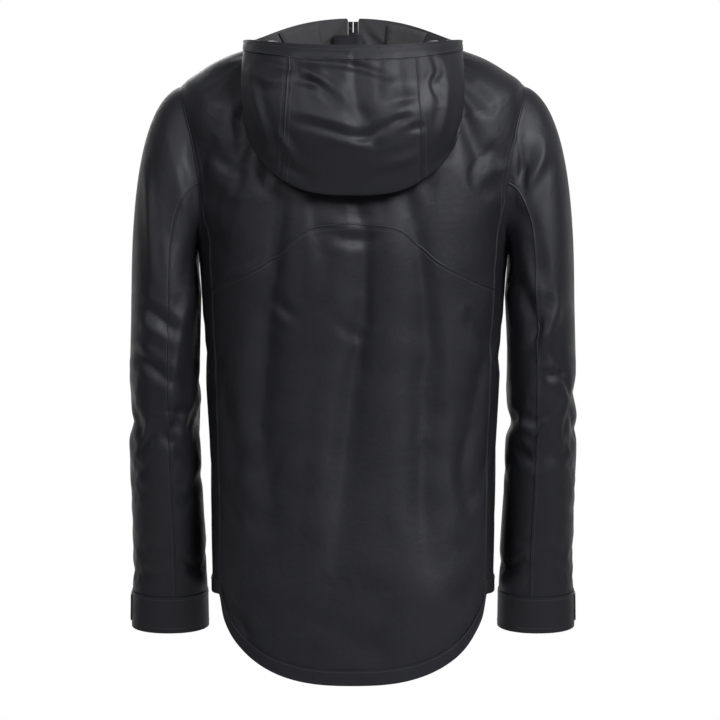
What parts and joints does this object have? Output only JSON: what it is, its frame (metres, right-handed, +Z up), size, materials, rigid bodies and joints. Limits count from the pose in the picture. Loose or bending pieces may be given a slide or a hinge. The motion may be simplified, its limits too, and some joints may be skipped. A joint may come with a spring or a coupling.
{
  "type": "hooded hardshell jacket",
  "caption": "Hooded waterproof shell jacket, zipped up and filled out as worn, with its hood folded down on the back and a drop-tail hem.",
  "frame": {"origin": "midway between the shoulders, at the height of the neck's side points, where the shoulders carry the jacket", "axes": "+Z up, -Y the way the wearer faces, +X the wearer's left"},
  "size_m": [0.5664, 0.2971, 0.8311],
  "materials": {
    "shell": "slightly shiny laminated plain weave",
    "lining": "matt brushed",
    "tape": "coated woven",
    "coil": "satin",
    "zip_metal": "black satin lacquer",
    "puller": "matt moulded",
    "cord": "braided",
    "cord_lock": "moulded",
    "spring": "bright",
    "loop_pile": "loop pile",
    "tab": "matt moulded"
  },
  "bodies": {
    "shell": {"back_yoke": "shell", "back_panel": "shell", "front_panel_left": "shell", "front_panel_right": "shell", "side_panel_left": "shell", "side_panel_right": "shell", "collar_left": "shell", "collar_right": "shell", "chin_guard": "lining", "neck_facing": "lining", "hang_loop": "tape", "storm_flap": "shell", "front_zip_tape_left": "tape", "front_zip_tape_right": "tape", "front_zip_coil_left": "coil", "front_zip_coil_right": "coil", "front_zip_top_stops": "zip_metal", "front_zip_retainer": "zip_metal", "pocket_zip_left": "tape", "pocket_bag_left": "lining", "pocket_zip_right": "tape", "pocket_bag_right": "lining", "chest_zip": "tape", "chest_pocket_bag": "lining", "hem_tunnel_back": "shell", "hem_tunnel_left": "shell", "hem_tunnel_right": "shell", "hem_drawcord": "cord", "hem_cord_anchors": "cord"},
    "hood": {"hood_center_panel": "shell", "hood_side_left": "shell", "hood_side_right": "shell", "hood_brim": "shell"},
    "sleeve_left": {"sleeve_outer_left": "shell", "sleeve_under_left": "shell", "cuff_left": "shell", "cuff_loop_patch_left": "loop_pile", "cuff_tab_base_left": "tab"},
    "sleeve_right": {"sleeve_outer_right": "shell", "sleeve_under_right": "shell", "cuff_right": "shell", "cuff_loop_patch_right": "loop_pile", "cuff_tab_base_right": "tab"},
    "cuff_tab_left": {"cuff_tab_left": "tab"},
    "cuff_tab_right": {"cuff_tab_right": "tab"},
    "front_slider": {"front_zip_slider": "zip_metal"},
    "front_puller": {"front_zip_puller": "puller"},
    "pocket_slider_left": {"pocket_slider_left": "zip_metal"},
    "pocket_puller_left": {"pocket_puller_left": "puller"},
    "pocket_slider_right": {"pocket_slider_right": "zip_metal"},
    "pocket_puller_right": {"pocket_puller_right": "puller"},
    "chest_slider": {"chest_slider": "zip_metal"},
    "chest_puller": {"chest_puller": "puller"},
    "hem_lock_left": {"hem_lock_left": "cord_lock", "hem_spring_left": "spring"},
    "hem_button_left": {"hem_button_left": "cord_lock"},
    "hem_lock_right": {"hem_lock_right": "cord_lock", "hem_spring_right": "spring"},
    "hem_button_right": {"hem_button_right": "cord_lock"}
  },
  "joints": [
    {"name": "hood_lift", "type": "hinge", "parent": "shell", "child": "hood", "pos_m": [0, 0.012, 0.02], "axis": [1, 0, 0], "range_deg": [0, 45]},
    {"name": "sleeve_raise_left", "type": "hinge", "parent": "shell", "child": "sleeve_left", "pos_m": [0.214, 0.006, -0.042], "axis": [0, -1, 0], "range_deg": [0, 18]},
    {"name": "sleeve_raise_right", "type": "hinge", "parent": "shell", "child": "sleeve_right", "pos_m": [-0.214, 0.006, -0.042], "axis": [0, 1, 0], "range_deg": [0, 18]},
    {"name": "cuff_tab_peel_left", "type": "hinge", "parent": "sleeve_left", "child": "cuff_tab_left", "pos_m": [0.28161, -0.06151, -0.69569], "axis": [-0.0235, 0.1328, 0.9909], "range_deg": [0, 75]},
    {"name": "cuff_tab_peel_right", "type": "hinge", "parent": "sleeve_right", "child": "cuff_tab_right", "pos_m": [-0.28161, -0.06151, -0.69569], "axis": [-0.0235, -0.1328, -0.9909], "range_deg": [0, 75]},
    {"name": "front_zip_slide", "type": "slide", "parent": "shell", "child": "front_slider", "axis": [0, -0.0578, -0.9983], "range_m": [0, 0.672]},
    {"name": "front_zip_puller_swing", "type": "hinge", "parent": "front_slider", "child": "front_puller", "pos_m": [0, -0.09538, 0.02927], "axis": [-1, 0, 0], "range_deg": [0, 150]},
    {"name": "pocket_zip_left_slide", "type": "slide", "parent": "shell", "child": "pocket_slider_left", "axis": [0.0687, -0.006, -0.9976], "range_m": [0, 0.148]},
    {"name": "pocket_zip_left_puller_swing", "type": "hinge", "parent": "pocket_slider_left", "child": "pocket_puller_left", "pos_m": [0.1212, -0.10759, -0.43021], "axis": [-0.8883, -0.4556, -0.0584], "range_deg": [0, 150]},
    {"name": "pocket_zip_right_slide", "type": "slide", "parent": "shell", "child": "pocket_slider_right", "axis": [-0.0687, -0.006, -0.9976], "range_m": [0, 0.148]},
    {"name": "pocket_zip_right_puller_swing", "type": "hinge", "parent": "pocket_slider_right", "child": "pocket_puller_right", "pos_m": [-0.1212, -0.10759, -0.43021], "axis": [-0.8883, 0.4556, 0.0584], "range_deg": [0, 150]},
    {"name": "chest_zip_slide", "type": "slide", "parent": "shell", "child": "chest_slider", "axis": [-0.0399, -0.0404, -0.9984], "range_m": [0, 0.122]},
    {"name": "chest_zip_puller_swing", "type": "hinge", "parent": "chest_slider", "child": "chest_puller", "pos_m": [0.12033, -0.10075, -0.20189], "axis": [-0.9544, -0.2943, 0.0501], "range_deg": [0, 150]},
    {"name": "hem_lock_slide_left", "type": "slide", "parent": "shell", "child": "hem_lock_left", "axis": [-0.771, -0.6369, 0], "range_m": [0, 0.035]},
    {"name": "hem_button_press_left", "type": "slide", "parent": "hem_lock_left", "child": "hem_button_left", "axis": [0, 0, -1], "range_m": [0, 0.003], "stiffness_N_per_m": 300, "springref_m": -0.001, "deforming": ["hem_spring_left"]},
    {"name": "hem_lock_slide_right", "type": "slide", "parent": "shell", "child": "hem_lock_right", "axis": [0.771, -0.6369, 0], "range_m": [0, 0.035]},
    {"name": "hem_button_press_right", "type": "slide", "parent": "hem_lock_right", "child": "hem_button_right", "axis": [0, 0, -1], "range_m": [0, 0.003], "stiffness_N_per_m": 300, "springref_m": -0.001, "deforming": ["hem_spring_right"]}
  ]
}
